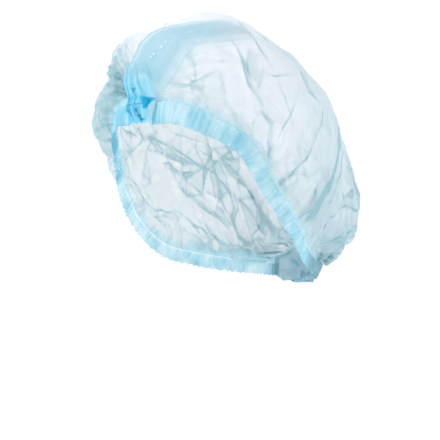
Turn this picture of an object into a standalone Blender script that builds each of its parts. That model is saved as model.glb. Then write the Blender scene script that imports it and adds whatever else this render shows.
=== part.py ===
"""A disposable clip cap of pleated non-woven with two gathered elastic edges.

The wearer looks along -Y, +X is the wearer's left and the origin is in the middle of the head opening.
The cloth is one sheet whose pleats are bunched in a knot at the forehead and in another at the nape. Every
surface is worked out from the same sections, which run side to side from the forehead knot to the nape knot.
"""

import math

import bmesh
import bpy
import numpy as np

# Head opening
RIM_HALF_WIDTH = 0.075
RIM_FRONT = 0.094
RIM_REAR = 0.080
RIM_RISE = 0.053
RIM_DROP = 0.059
FOREHEAD_LEAN = 0.25
NAPE_LEAN = -0.35

# Crown
CROWN_HALF_WIDTH = 0.101
CROWN_TOP = 0.140
CROWN_OVERHANG = 0.062
CLOTH_WALL = 0.001
PLEAT_RELIEF = 0.0012
PLEAT_COUNT = 8
FOLD_DEPTH = 0.006
FOLD_WIDTH = 0.018

# Gathered edges
HEM_FRONT_WIDTH = 0.0175
HEM_NAPE_WIDTH = 0.011
HEM_WALL = 0.0014
HEM_RELIEF = 0.0011
HEM_RUFFLE = 0.0008
HEM_GATHERS = 36

# Knots
FRONT_KNOT_WIDTH = 0.020
FRONT_KNOT_HEIGHT = 0.037
FRONT_KNOT_DEPTH = 0.014
NAPE_KNOT_WIDTH = 0.026
NAPE_KNOT_HEIGHT = 0.024
NAPE_KNOT_DEPTH = 0.022
KNOT_FOLDS = 7
KNOT_RELIEF = 0.0014

# Pleats that stay folded, moved from the middle of the cap to the wearer's left. They reach their full width
# after a share of their length and never wrap more than a share of the half crown.
FRONT_PLEATS_LENGTH = 0.115
FRONT_PLEATS_WIDTH = 0.044
FRONT_PLEATS_ASIDE = 0.007
NAPE_PLEATS_LENGTH = 0.070
NAPE_PLEATS_WIDTH = 0.028
NAPE_PLEATS_ASIDE = 0.005
PLEATS_WALL = 0.0011
PLEATS_STEP = 0.0009
PLEATS_LAYERS = 3
PLEATS_KNOT_SPREAD = 0.72
PLEATS_FULL_SHARE = 0.31
PLEATS_START_SHARE = 0.04
PLEATS_WRAP = 0.55

# Clearance between neighbouring pieces, and between the pleats' broad facets and the rounder crown under them
GAP = 0.0003
PLEATS_GAP = 0.0006

# Shares that shape the cloth: where along the cap the hem reaches its narrow width, how far along it the pleats
# fade, and how far the tuck between belly and seam keeps its direction
HEM_TAPER_SHARE = 0.5
PLEAT_FADE_SHARE = 0.16
TUCK_REACH = 0.45

# Mesh counts
CROWN_ROWS = 36
CROWN_HALF_COLUMNS = 19
DOME_SAMPLES = 40
TUCK_SAMPLES = 30
HEM_SAMPLES = 4
HEM_ROWS = 2
KNOT_SIDES = 28
PLEATS_ROWS = 14
PLEATS_COLUMNS = 9

# Sections from the forehead knot to the nape knot. Each length is a share: rim_side and belly_side go from the
# knot's edge out to RIM_HALF_WIDTH and CROWN_HALF_WIDTH, rim_along is of RIM_FRONT or RIM_REAR, rim_level of
# RIM_RISE or RIM_DROP, crest_back of CROWN_OVERHANG behind the straight way between the knots, crest_level goes
# from the straight way between the knots' tops up to CROWN_TOP, and belly_level from the rim to the crest.
SECTION_COLUMNS = (
    "station", "rim_side", "rim_along", "rim_level", "crest_back", "crest_level",
    "belly_side", "belly_level", "squareness",
)
SECTIONS = (
    (0.00, 0.00, -1.00, 1.00, 0.00, 0.00, 0.00, 0.50, 2.0),
    (0.07, 0.24, -0.95, 1.00, -0.16, 0.33, 0.24, 0.42, 2.2),
    (0.16, 0.54, -0.81, 0.85, -0.26, 0.72, 0.54, 0.24, 2.5),
    (0.26, 0.78, -0.62, 0.60, -0.16, 0.91, 0.84, 0.14, 2.1),
    (0.37, 0.93, -0.45, 0.06, 0.06, 1.00, 0.98, 0.20, 1.8),
    (0.49, 1.00, -0.22, -0.38, 0.28, 0.95, 0.95, 0.28, 1.8),
    (0.61, 0.90, 0.05, -0.74, 0.50, 0.82, 0.84, 0.28, 1.9),
    (0.72, 0.66, 0.38, -0.88, 0.73, 0.63, 0.71, 0.26, 2.1),
    (0.82, 0.42, 0.66, -0.95, 0.88, 0.42, 0.59, 0.20, 2.2),
    (0.90, 0.22, 0.85, -0.98, 0.92, 0.21, 0.47, 0.10, 2.2),
    (0.96, 0.08, 0.96, -1.00, 0.76, 0.07, 0.30, 0.08, 2.2),
    (1.00, 0.00, 1.00, -1.00, 0.40, 0.00, 0.00, 0.50, 2.0),
)

# Main folds of the crown, each a straight crease between two places. The station runs as above and across runs
# from -1 at the right hem over 0 at the crest to 1 at the left hem. The width is a share of FOLD_WIDTH and the
# height of FOLD_DEPTH, below zero for a valley.
FOLD_COLUMNS = ("station_a", "across_a", "station_b", "across_b", "width", "height")
FOLDS = (
    (0.10, -0.20, 0.30, -0.42, 0.80, -1.00),
    (0.12, -0.08, 0.34, -0.22, 0.60, 0.90),
    (0.36, 0.18, 0.50, 0.72, 0.70, -0.55),
    (0.40, 0.12, 0.56, 0.60, 0.70, 0.60),
    (0.52, 0.20, 0.68, 0.62, 0.80, -0.60),
    (0.14, 0.30, 0.30, 0.60, 0.70, 0.50),
    (0.70, 0.45, 0.92, 0.35, 0.90, 0.80),
    (0.74, 0.68, 0.94, 0.60, 0.80, -0.70),
    (0.70, -0.45, 0.92, -0.35, 0.90, 0.80),
    (0.74, -0.68, 0.94, -0.60, 0.80, -0.70),
    (0.30, -0.62, 0.48, -0.80, 0.80, 0.70),
    (0.36, -0.40, 0.60, -0.55, 0.90, -0.60),
)

# Rings of a knot from inside the cap outwards: how far forward, as a share of its depth, and how large
KNOT_RINGS = (
    (-0.45, 0.45),
    (-0.30, 0.85),
    (0.00, 1.00),
    (0.30, 1.00),
    (0.50, 0.85),
    (0.60, 0.45),
)


def lerp(start, end, share):
    return start + (end - start) * share


def unit(vector):
    return vector / np.linalg.norm(vector)


def table_column(rows, names, name):
    return [row[names.index(name)] for row in rows]


def section_value(name, station):
    """The value at a station of a smooth curve through one column of SECTIONS."""
    stations = table_column(SECTIONS, SECTION_COLUMNS, "station")
    values = table_column(SECTIONS, SECTION_COLUMNS, name)
    slopes = np.gradient(values, stations)
    place = int(np.clip(np.searchsorted(stations, station, side="right") - 1, 0, len(stations) - 2))
    length = stations[place + 1] - stations[place]
    t = (station - stations[place]) / length
    start = (2 * t**3 - 3 * t**2 + 1) * values[place] + (t**3 - 2 * t**2 + t) * length * slopes[place]
    end = (3 * t**2 - 2 * t**3) * values[place + 1] + (t**3 - t**2) * length * slopes[place + 1]
    return start + end


def edge_half_width(station):
    """Half the space that a knot leaves between the two halves of the cloth, shared along the cap."""
    clearance = GAP + HEM_WALL / 2
    return lerp(FRONT_KNOT_WIDTH / 2 + clearance, NAPE_KNOT_WIDTH / 2 + clearance, station)


def rim_point(station):
    """The lower edge of the left hem."""
    start = edge_half_width(station)
    along = section_value("rim_along", station)
    level = section_value("rim_level", station)
    x = lerp(start, RIM_HALF_WIDTH, section_value("rim_side", station))
    y = along * (RIM_REAR if along > 0 else RIM_FRONT)
    z = level * (RIM_RISE if level > 0 else RIM_DROP)
    return np.array((x, y, z))


def hem_width(station):
    return lerp(HEM_FRONT_WIDTH, HEM_NAPE_WIDTH, min(1.0, station / HEM_TAPER_SHARE))


def rim_frame(station):
    """The directions along the rim, out of the cap and up the hem."""
    step = 0.004
    before = rim_point(max(0.0, station - step))
    after = rim_point(min(1.0, station + step))
    along = unit(after - before)
    x, y, _ = rim_point(station)
    length = RIM_REAR if y > 0 else RIM_FRONT
    lean = lerp(FOREHEAD_LEAN, NAPE_LEAN, station)
    out = unit(np.array((x / RIM_HALF_WIDTH**2, y / length**2, 0.0)))
    out = unit(out + np.array((0.0, 0.0, lean)))
    up = unit(np.cross(out, along))
    up *= math.copysign(1.0, up[2])
    return along, unit(out - along * out.dot(along)), up


def crest_point(station):
    """The outer line of the crown in the middle, from the top of one knot to the top of the other."""
    knot_tops = lerp(
        RIM_RISE + FRONT_KNOT_HEIGHT,
        NAPE_KNOT_HEIGHT - RIM_DROP,
        station,
    )
    y = lerp(-RIM_FRONT, RIM_REAR, station) + section_value("crest_back", station) * CROWN_OVERHANG
    z = lerp(knot_tops, CROWN_TOP, section_value("crest_level", station))
    return np.array((0.0, y, z))


def half_section(station, columns):
    """Evenly spaced points of the left half of a section, from the crest down to the hem."""
    _, _, up = rim_frame(station)
    seam = rim_point(station) + up * (hem_width(station) + GAP + CLOTH_WALL / 4)
    crest = crest_point(station)
    foot = np.array((0.0, seam[1], seam[2]))
    rise = crest - foot
    belly_level = section_value("belly_level", station)
    belly_side = lerp(edge_half_width(station), CROWN_HALF_WIDTH, section_value("belly_side", station))
    belly = foot + rise * belly_level + np.array((belly_side, 0.0, 0.0))
    power = 2 / section_value("squareness", station)
    turn = np.linspace(math.pi / 2, 0.0, DOME_SAMPLES)
    side = belly_side * np.cos(turn).clip(0) ** power
    height = (1 - belly_level) * np.sin(turn) ** power
    upper = belly + np.outer(side - belly_side, (1.0, 0.0, 0.0)) + np.outer(height, rise)
    reach = TUCK_REACH * np.linalg.norm(belly - seam)
    poles = (belly, belly - unit(rise) * reach, seam + up * reach, seam)
    t = np.linspace(0.0, 1.0, TUCK_SAMPLES)[1:, None]
    lower = (1 - t) ** 3 * poles[0] + 3 * t * (1 - t) ** 2 * poles[1]
    lower = lower + 3 * t**2 * (1 - t) * poles[2] + t**3 * poles[3]
    line = np.vstack((upper, lower))
    lengths = np.concatenate(([0.0], np.cumsum(np.linalg.norm(np.diff(line, axis=0), axis=1))))
    wanted = np.linspace(0.0, lengths[-1], columns + 1)
    return np.column_stack([np.interp(wanted, lengths, line[:, axis]) for axis in range(3)])


def grid_normals(points):
    """Outward normals of a grid of points whose rows run along the cap."""
    along = np.gradient(points, axis=0)
    across = np.gradient(points, axis=1)
    normals = np.cross(across, along)
    lengths = np.linalg.norm(normals, axis=2, keepdims=True)
    return normals / np.maximum(lengths, 1e-12)


def fold_heights(stations, across, points):
    """The height of the main folds at each point of the crown."""
    total = np.zeros(points.shape[:2])
    for row in FOLDS:
        fold = dict(zip(FOLD_COLUMNS, row))
        ends = []
        for name in ("a", "b"):
            row_at = np.abs(stations - fold["station_" + name]).argmin()
            column_at = np.abs(across - fold["across_" + name]).argmin()
            ends.append(points[row_at, column_at])
        line = ends[1] - ends[0]
        share = ((points - ends[0]) @ line / line.dot(line)).clip(0, 1)
        distance = np.linalg.norm(points - ends[0] - share[..., None] * line, axis=2)
        taper = np.sin(math.pi * (0.15 + 0.7 * share))
        width = fold["width"] * FOLD_WIDTH
        total += fold["height"] * FOLD_DEPTH * taper * np.exp(-((distance / width) ** 2))
    return total


def crown_grid():
    """The middle surface of the crown: rows along the cap, columns from the right hem to the left hem."""
    stations = np.linspace(0.0, 1.0, CROWN_ROWS + 1)
    across = np.linspace(-1.0, 1.0, 2 * CROWN_HALF_COLUMNS + 1)
    rows = []
    for station in stations:
        left = half_section(station, CROWN_HALF_COLUMNS)
        right = left[:0:-1] * (-1, 1, 1)
        rows.append(np.vstack((right, left)))
    points = np.array(rows)
    normals = grid_normals(points)
    nearest_knot = np.minimum(stations, 1 - stations)[:, None]
    pleats = np.cos(2 * math.pi * PLEAT_COUNT * across)[None, :]
    pleats = pleats * np.exp(-nearest_knot / PLEAT_FADE_SHARE) * PLEAT_RELIEF
    ends = np.sin(math.pi * stations.clip(0, 1))[:, None] ** 0.5
    hems = (1 - np.abs(across) ** 6)[None, :]
    heights = (pleats + fold_heights(stations, across, points)) * ends * hems
    return points + normals * heights[..., None]


def add_faces(mesh_builder, points, closed=False):
    """Quads over a grid of points, joined round the last column when closed."""
    rows, columns = points.shape[:2]
    corners = [[mesh_builder.verts.new(point) for point in row] for row in points]
    for row in range(rows - 1):
        for column in range(columns if closed else columns - 1):
            after = (column + 1) % columns
            mesh_builder.faces.new(
                (corners[row][column], corners[row + 1][column], corners[row + 1][after], corners[row][after])
            )
    return corners


def add_object(name, mesh_builder, collection, material):
    mesh = bpy.data.meshes.new(name)
    bmesh.ops.recalc_face_normals(mesh_builder, faces=mesh_builder.faces)
    mesh_builder.to_mesh(mesh)
    mesh_builder.free()
    mesh.materials.append(material)
    mesh.shade_smooth()
    made = bpy.data.objects.new(name, mesh)
    collection.objects.link(made)
    return made


def add_sheet(name, points, wall, collection, material):
    """An open surface through a grid of points with a wall of even thickness on both sides of it."""
    builder = bmesh.new()
    add_faces(builder, points)
    made = add_object(name, builder, collection, material)
    solidify = made.modifiers.new("wall", "SOLIDIFY")
    solidify.thickness = wall
    solidify.offset = 0.0
    return made


def make_hem(name, side, collection, material):
    """A gathered band along one side of the head opening."""
    columns = HEM_GATHERS * HEM_SAMPLES + 1
    points = np.zeros((HEM_ROWS + 1, columns, 3))
    for column, station in enumerate(np.linspace(0.0, 1.0, columns)):
        _, out, up = rim_frame(station)
        wave = math.cos(2 * math.pi * column / HEM_SAMPLES)
        fade = math.sin(math.pi * station) ** 0.25
        for row in range(HEM_ROWS + 1):
            share = row / HEM_ROWS
            relief = lerp(1.0, 0.45, share) * HEM_RELIEF * wave * fade
            ruffle = (1 - share) * HEM_RUFFLE * (1 - wave) / 2
            place = rim_point(station) + up * (share * hem_width(station) + ruffle) + out * relief
            points[row, column] = place * (side, 1, 1)
    return add_sheet(name, points, HEM_WALL, collection, material)


def knot_outline(station):
    """The closed line that the hems' ends and the end of the crown leave for a knot."""
    section = half_section(station, KNOT_SIDES)
    rim = rim_point(station)
    line = np.vstack((section, rim, rim * (0, 1, 1)))
    lengths = np.concatenate(([0.0], np.cumsum(np.linalg.norm(np.diff(line, axis=0), axis=1))))
    wanted = np.linspace(0.0, lengths[-1], KNOT_SIDES // 2 + 1)
    half = np.column_stack([np.interp(wanted, lengths, line[:, axis]) for axis in range(3)])
    return np.vstack((half, half[-2:0:-1] * (-1, 1, 1)))


def make_knot(name, station, depth, outward, collection, material):
    """A bunch of folds that fills the space between the hems' ends under the end of the crown."""
    outline = knot_outline(station)
    middle = (outline.max(axis=0) + outline.min(axis=0)) / 2
    clearance = GAP + HEM_WALL / 2
    spokes = outline - middle
    lengths = np.linalg.norm(spokes, axis=1, keepdims=True)
    spokes = spokes * (1 - clearance / lengths)
    sides = len(outline)
    turn = np.arange(sides) / sides
    folds = np.abs(np.sin(math.pi * KNOT_FOLDS * turn))[:, None]
    relief = 1 - folds * KNOT_RELIEF / lengths
    rings = [
        middle + spokes * size * relief + outward * forward * depth
        for forward, size in KNOT_RINGS
    ]
    builder = bmesh.new()
    corners = add_faces(builder, np.array(rings), closed=True)
    builder.faces.new(corners[0])
    builder.faces.new(corners[-1])
    return add_object(name, builder, collection, material)


def length_rows(points, column, start_row, length):
    """The row at which a column of the grid reaches a length, counted from a starting row."""
    line = points[:, column]
    steps = np.linalg.norm(np.diff(line, axis=0), axis=1)
    if start_row > 0:
        lengths = np.concatenate(([0.0], np.cumsum(steps[::-1])))
        return len(line) - 1 - float(np.interp(length, lengths, np.arange(len(lengths))))
    lengths = np.concatenate(([0.0], np.cumsum(steps)))
    return float(np.interp(length, lengths, np.arange(len(lengths))))


def grid_sample(grid, row, column):
    """The point of a grid at a place between its rows and columns."""
    r = int(min(max(math.floor(row), 0), grid.shape[0] - 2))
    c = int(min(max(math.floor(column), 0), grid.shape[1] - 2))
    upper = lerp(grid[r, c], grid[r, c + 1], column - c)
    lower = lerp(grid[r + 1, c], grid[r + 1, c + 1], column - c)
    return lerp(upper, lower, row - r)


def make_pleats(name, crown, first_row, length, width, aside, collection, material):
    """Layers of folded cloth that lie on the crown near its middle, starting just clear of a knot."""
    middle = CROWN_HALF_COLUMNS
    normals = grid_normals(crown)
    last_row = length_rows(crown, middle, first_row, length)
    start = lerp(first_row, last_row, PLEATS_START_SHARE)
    lift = CLOTH_WALL / 2 + PLEATS_GAP + PLEATS_WALL / 2
    points = np.zeros((PLEATS_ROWS + 1, PLEATS_COLUMNS, 3))
    for i in range(PLEATS_ROWS + 1):
        row = lerp(start, last_row, i / PLEATS_ROWS)
        here = grid_sample(crown, row, middle)
        beside = grid_sample(crown, row, middle + 1)
        cell = np.linalg.norm(beside - here)
        opened = min(1.0, i / PLEATS_ROWS / PLEATS_FULL_SHARE)
        half = width / 2 / cell * lerp(PLEATS_KNOT_SPREAD, 1.0, opened)
        half = min(half, CROWN_HALF_COLUMNS * PLEATS_WRAP)
        for j in range(PLEATS_COLUMNS):
            share = 2 * j / (PLEATS_COLUMNS - 1) - 1
            column = middle + aside / cell * opened + half * share
            layer = PLEATS_STEP * (1 - abs((abs(share) * PLEATS_LAYERS) % 2 - 1))
            normal = unit(grid_sample(normals, row, column))
            points[i, j] = grid_sample(crown, row, column) + normal * (lift + layer)
    return add_sheet(name, points, PLEATS_WALL, collection, material)


def make_material(name, color, roughness):
    material = bpy.data.materials.new(name)
    material.use_nodes = True
    shader = material.node_tree.nodes["Principled BSDF"]
    shader.inputs["Base Color"].default_value = (*color, 1.0)
    shader.inputs["Roughness"].default_value = roughness
    shader.inputs["Metallic"].default_value = 0.0
    return material


def main():
    for old in list(bpy.data.objects):
        bpy.data.objects.remove(old)
    cap = bpy.data.collections.new("clip_cap")
    bpy.context.scene.collection.children.link(cap)
    sheer = (0.62, 0.80, 0.90)
    folded = (0.38, 0.72, 0.88)
    dense = (0.10, 0.58, 0.82)
    crown = crown_grid()
    add_sheet("crown", crown, CLOTH_WALL, cap, make_material("sheer_cloth", sheer, 0.7))
    make_hem("hem_left", 1, cap, make_material("hem_left_cloth", folded, 0.7))
    make_hem("hem_right", -1, cap, make_material("hem_right_cloth", folded, 0.7))
    front = np.array((0.0, -1.0, 0.0))
    rear = np.array((0.0, 1.0, 0.0))
    knot_cloth = make_material("front_knot_cloth", dense, 0.6)
    make_knot("front_knot", 0.0, FRONT_KNOT_DEPTH, front, cap, knot_cloth)
    knot_cloth = make_material("nape_knot_cloth", dense, 0.6)
    make_knot("nape_knot", 1.0, NAPE_KNOT_DEPTH, rear, cap, knot_cloth)
    pleat_cloth = make_material("front_pleats_cloth", folded, 0.7)
    sizes = (FRONT_PLEATS_LENGTH, FRONT_PLEATS_WIDTH, FRONT_PLEATS_ASIDE)
    make_pleats("front_pleats", crown, 0, *sizes, cap, pleat_cloth)
    pleat_cloth = make_material("nape_pleats_cloth", folded, 0.7)
    sizes = (NAPE_PLEATS_LENGTH, NAPE_PLEATS_WIDTH, NAPE_PLEATS_ASIDE)
    make_pleats("nape_pleats", crown, CROWN_ROWS, *sizes, cap, pleat_cloth)


main()
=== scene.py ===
"""The looks of a disposable clip cap of sheer pleated non-woven.

The cloth is one sheet, drawn in by two gathered hems and bunched in a knot at the forehead and at the nape.
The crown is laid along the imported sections, settled with Blender's cloth and then creased as worn cloth is.
"""

import math

import bpy
import numpy as np
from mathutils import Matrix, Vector, geometry, noise
from mathutils.bvhtree import BVHTree


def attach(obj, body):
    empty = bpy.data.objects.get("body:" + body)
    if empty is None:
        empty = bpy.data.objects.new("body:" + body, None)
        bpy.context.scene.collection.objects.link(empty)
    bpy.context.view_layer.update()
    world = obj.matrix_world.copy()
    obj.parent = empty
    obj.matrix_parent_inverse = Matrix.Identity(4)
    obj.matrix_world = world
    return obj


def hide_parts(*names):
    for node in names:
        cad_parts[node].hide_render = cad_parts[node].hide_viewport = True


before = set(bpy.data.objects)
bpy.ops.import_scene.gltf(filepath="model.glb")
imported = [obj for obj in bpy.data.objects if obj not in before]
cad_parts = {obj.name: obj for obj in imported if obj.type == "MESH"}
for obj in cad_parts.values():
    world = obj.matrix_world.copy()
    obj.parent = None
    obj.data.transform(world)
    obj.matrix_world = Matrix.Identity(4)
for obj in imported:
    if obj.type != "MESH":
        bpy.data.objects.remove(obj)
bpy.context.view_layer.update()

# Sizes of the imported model, in metres
RIM_HALF_WIDTH = 0.075
RIM_FRONT = 0.094
RIM_REAR = 0.080
RIM_RISE = 0.053
RIM_DROP = 0.059
FOREHEAD_LEAN = 0.25
NAPE_LEAN = -0.35
CROWN_HALF_WIDTH = 0.101
CROWN_TOP = 0.140
CROWN_OVERHANG = 0.062
HEM_FRONT_WIDTH = 0.0175
HEM_NAPE_WIDTH = 0.011
FRONT_EDGE_HALF_WIDTH = 0.011
NAPE_EDGE_HALF_WIDTH = 0.014
FRONT_KNOT_HEIGHT = 0.037
NAPE_KNOT_HEIGHT = 0.024

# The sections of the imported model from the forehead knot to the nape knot, as shares of the sizes above
SECTION_COLUMNS = (
    "station", "rim_side", "rim_along", "rim_level", "crest_back", "crest_level",
    "belly_side", "belly_level", "squareness",
)
SECTIONS = (
    (0.00, 0.00, -1.00, 1.00, 0.00, 0.00, 0.00, 0.50, 2.0),
    (0.07, 0.24, -0.95, 1.00, -0.16, 0.33, 0.24, 0.42, 2.2),
    (0.16, 0.54, -0.81, 0.85, -0.26, 0.72, 0.54, 0.24, 2.5),
    (0.26, 0.78, -0.62, 0.60, -0.16, 0.91, 0.84, 0.14, 2.1),
    (0.37, 0.93, -0.45, 0.06, 0.06, 1.00, 0.98, 0.20, 1.8),
    (0.49, 1.00, -0.22, -0.38, 0.28, 0.95, 0.95, 0.28, 1.8),
    (0.61, 0.90, 0.05, -0.74, 0.50, 0.82, 0.84, 0.28, 1.9),
    (0.72, 0.66, 0.38, -0.88, 0.73, 0.63, 0.71, 0.26, 2.1),
    (0.82, 0.42, 0.66, -0.95, 0.88, 0.42, 0.59, 0.20, 2.2),
    (0.90, 0.22, 0.85, -0.98, 0.92, 0.21, 0.47, 0.10, 2.2),
    (0.96, 0.08, 0.96, -1.00, 0.76, 0.07, 0.30, 0.08, 2.2),
    (1.00, 0.00, 1.00, -1.00, 0.40, 0.00, 0.00, 0.50, 2.0),
)

# Camera
VIEW_AZIMUTH = math.radians(41)
VIEW_DISTANCE = 1.5
METRES_PER_PIXEL = 0.00076
FRAME_PIXELS = 440
ORIGIN_PIXEL = (226, 200)
HORIZON_PIXEL = 220
SENSOR_WIDTH = 36.0

# Flat sizes of the cloth, in metres
CROWN_FLAT = (0.36, 0.42)
HEM_FLAT = (0.40, 0.0135)
KNOT_FLAT = (0.064, 0.036)
NAPE_KNOT_FLAT = (0.065, 0.036)
FRONT_PLEATS_FLAT = (0.13, 0.110)
NAPE_PLEATS_FLAT = (0.05, 0.065)

# Mesh counts of the crown, which is made twice as fine once it has settled
CROWN_ROWS = 151
CROWN_HALF_COLUMNS = 76

# How the crown settles
SETTLE_FRAMES = 22
SETTLE_LIMIT = 0.008
SLACK = 0.16

# Gathers along each hem
PUCKERS = 66
PUCKER_RELIEF = 0.0005
STEPS_PER_PUCKER = 10

# A hem in shares of its width: where its elastic runs, how far it reaches over the crown, and over how much
# of that reach it thins out. Its wall is in metres.
ELASTIC_LEVEL = 0.30
HEM_REACH = 1.12
HEM_FADE = 0.26
HEM_WALL = 0.0005

# Crumpled facets of the crown and of the knots, in metres of flat cloth
LARGE_FACET = 0.018
SMALL_FACET = 0.0085
HEM_FACET = 0.010
KNOT_FACET = 0.006

# Creases in the crown. Height and width in metres are those of the raised line, and layers says how much cloth
# is folded over, and in one crease how dark a painted shadow is. Band is how far in metres the folded cloth
# lies to the left of the line, or to its right below zero. The line runs through places of the 440 by 440
# picture, on the near or far side of the cap.
CREASE_COLUMNS = ("side", "height", "width", "layers_and_shade", "band", "line")
CREASES = (
    ("near", 0.0024, 0.0026, 0.60, 0.0030, ((229, 38), (236, 50), (241, 62), (248, 85), (257, 98), (263, 109))),
    ("near", 0.0014, 0.0018, 0.45, 0.0100, ((247, 48), (246, 60), (247, 70), (254, 84))),
    ("near", 0.0012, 0.0016, 0.30, -0.0020, ((263, 68), (260, 80), (258, 92))),
    ("near", 0.0018, 0.0026, 0.40, 0.0030, ((262, 75), (274, 78), (292, 76))),
    ("near", 0.0022, 0.0030, 0.45, 0.0120, ((297, 66), (301, 81), (307, 94), (318, 105))),
    ("near", 0.0016, 0.0018, 0.40, 0.0014, (
        (299, 88), (294, 102), (290, 114), (283, 127), (279, 136), (275, 150),
    )),
    ("near", 0.0012, 0.0014, 0.35, 0.0010, ((259, 110), (253, 123), (251, 135), (249, 148))),
    ("near", 0.0022, 0.0024, 0.60, 0.0034, (
        (260, 110), (270, 124), (270, 136), (269, 150), (268, 164), (265, 190),
    )),
    ("near", 0.0010, 0.0012, 0.25, 0.0008, ((242, 112), (241, 124), (242, 134))),
    ("near", 0.0022, 0.0024, 0.60, 0.0024, (
        (321, 109), (320, 125), (313, 138), (305, 157), (295, 168), (285, 182),
    )),
    # This widest near crease is painted shadow from the gap at the back of the head, drawn as a dense band of
    # folded cloth
    ("near", 0.0024, 0.0044, 0.85, 0.0110, (
        (333, 108), (336, 125), (335, 148), (333, 166), (325, 184), (314, 200), (305, 222),
    )),
    ("near", 0.0020, 0.0020, 0.55, -0.0020, ((342, 150), (341, 170), (336, 186), (327, 204))),
    ("near", 0.0022, 0.0020, 0.60, -0.0020, ((342, 188), (346, 204), (330, 218), (323, 229))),
    ("near", 0.0016, 0.0016, 0.45, 0.0016, ((345, 206), (354, 212))),
    ("near", 0.0024, 0.0040, 0.50, 0.0090, ((358, 219), (350, 229), (337, 234), (325, 238))),
    ("near", 0.0016, 0.0020, 0.30, 0.0040, ((284, 182), (289, 175), (297, 173), (310, 176))),
    ("near", 0.0020, 0.0022, 0.55, 0.0050, ((279, 178), (281, 190), (284, 204))),
    ("near", 0.0020, 0.0024, 0.40, -0.0030, ((316, 188), (311, 206), (297, 223))),
    ("near", 0.0014, 0.0018, 0.40, -0.0026, ((168, 82), (187, 85), (203, 77), (219, 68))),
    ("near", 0.0014, 0.0014, 0.35, 0.0012, ((190, 84), (201, 103))),
    ("near", 0.0012, 0.0014, 0.35, -0.0012, ((203, 78), (204, 96), (208, 110))),
    ("near", 0.0008, 0.0018, 0.30, 0.0050, ((176, 57), (187, 47), (204, 41), (231, 41))),
    ("near", 0.0010, 0.0012, 0.25, 0.0010, ((216, 61), (229, 61))),
    ("near", 0.0010, 0.0014, 0.15, 0.0016, ((186, 56), (198, 55), (208, 52))),
    ("near", 0.0018, 0.0024, 0.55, 0.0050, ((236, 22), (247, 34), (258, 50), (266, 60))),
    ("near", 0.0016, 0.0018, 0.45, 0.0030, ((248, 22), (256, 34), (270, 46))),
    ("near", 0.0020, 0.0020, 0.55, -0.0024, ((165, 27), (180, 35), (190, 31))),
    ("far", 0.0050, 0.0050, 0.55, 0.0050, ((124, 46), (127, 58), (131, 70))),
    ("far", 0.0046, 0.0034, 0.35, 0.0030, ((124, 44), (134, 42), (146, 34))),
    ("far", 0.0030, 0.0040, 0.55, 0.0240, ((108, 74), (118, 74), (130, 75))),
    ("far", 0.0026, 0.0030, 0.50, 0.0060, ((104, 92), (112, 96), (124, 92))),
)
SPREAD_CREASES = 40
CREASE_LINE_WIDTH = 0.00075

# Tucks in a knot: middles and half sizes as shares across and up, depth in metres, and layers, which in the
# deepest tuck also give its pocket painted shade
TUCK_COLUMNS = ("across", "up", "half_width", "half_height", "depth", "layers_and_shade")
FRONT_TUCKS = (
    # The deepest tuck is the knot's pocket, whose dark colour is partly painted shade
    (0.81, 0.475, 0.180, 0.130, 0.0026, 1.00),
    (0.65, 0.12, 0.065, 0.075, 0.0014, 0.95),
    (0.66, 0.235, 0.026, 0.120, 0.0010, 0.70),
    (0.78, 0.08, 0.060, 0.040, 0.0010, 0.75),
    (0.50, 0.70, 0.080, 0.030, 0.0010, 0.70),
    (0.37, 0.53, 0.024, 0.080, 0.0008, 0.50),
    (0.33, 0.39, 0.090, 0.016, 0.0008, 0.65),
    (0.49, 0.41, 0.100, 0.015, 0.0008, 0.60),
    (0.64, 0.44, 0.100, 0.018, 0.0008, 0.65),
)
NAPE_TUCKS = (
    (0.35, 0.40, 0.10, 0.10, 0.0024, 0.60),
    (0.62, 0.60, 0.08, 0.12, 0.0020, 0.55),
    (0.78, 0.25, 0.06, 0.08, 0.0016, 0.50),
    (0.18, 0.70, 0.06, 0.08, 0.0016, 0.45),
)

# The pleats' two edges along the crown, in metres to the wearer's left of the crest
PLEAT_COLUMNS = ("station", "low", "high")
FRONT_PLEAT_EDGES = (
    (0.006, -0.0150, 0.0300),
    (0.040, -0.0136, 0.0360),
    (0.075, -0.0092, 0.0410),
    (0.120, -0.0068, 0.0460),
    (0.150, -0.0010, 0.0510),
    (0.175, 0.0110, 0.0570),
    (0.200, 0.0230, 0.0640),
    (0.250, 0.0310, 0.0690),
    (0.340, 0.0370, 0.0720),
)
NAPE_PLEAT_EDGES = (
    (0.990, -0.0110, 0.0130),
    (0.950, -0.0100, 0.0170),
    (0.870, -0.0080, 0.0200),
)

# How the pleats turn back and forth between their two edges, as shares across, and how far apart they lie
FRONT_PLEAT_TURNS = (0.0, 1.0, 0.12, 0.90, 0.04, 0.72)
NAPE_PLEAT_TURNS = (0.0, 1.0, 0.4, 0.9)
PLEAT_STEP = 0.0005
PLEAT_LENGTH = 0.115
PLEAT_DEPTH = 0.03

# Pressed weld dots on the front pleats, as places in the picture
WELD_PIXELS = ((166, 42), (162, 47), (154, 54), (151, 57))
WELD_RADIUS = 0.0011

CAP_MIDDLE = (0.0, 0.0, 0.04)

# Where the soft crown bulges out of its smooth form, or sinks into it below zero. Station and across are the
# middle, length and width how far it spreads in the same shares, and height is in metres.
BULGE_COLUMNS = ("station", "across", "length", "width", "height")
BULGES = (
    (0.265, -0.10, 0.060, 0.16, -0.0088),
    (0.190, -0.46, 0.050, 0.18, -0.0070),
    (0.212, -0.64, 0.050, 0.11, -0.0068),
    (0.250, -0.80, 0.060, 0.07, 0.0010),
    (0.330, -0.84, 0.040, 0.06, -0.0030),
    (0.500, 0.21, 0.050, 0.09, -0.0120),
    (0.680, 0.30, 0.030, 0.06, 0.0030),
    (0.770, 0.38, 0.030, 0.06, -0.0035),
    (0.935, 0.62, 0.032, 0.13, -0.0090),
)

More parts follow.
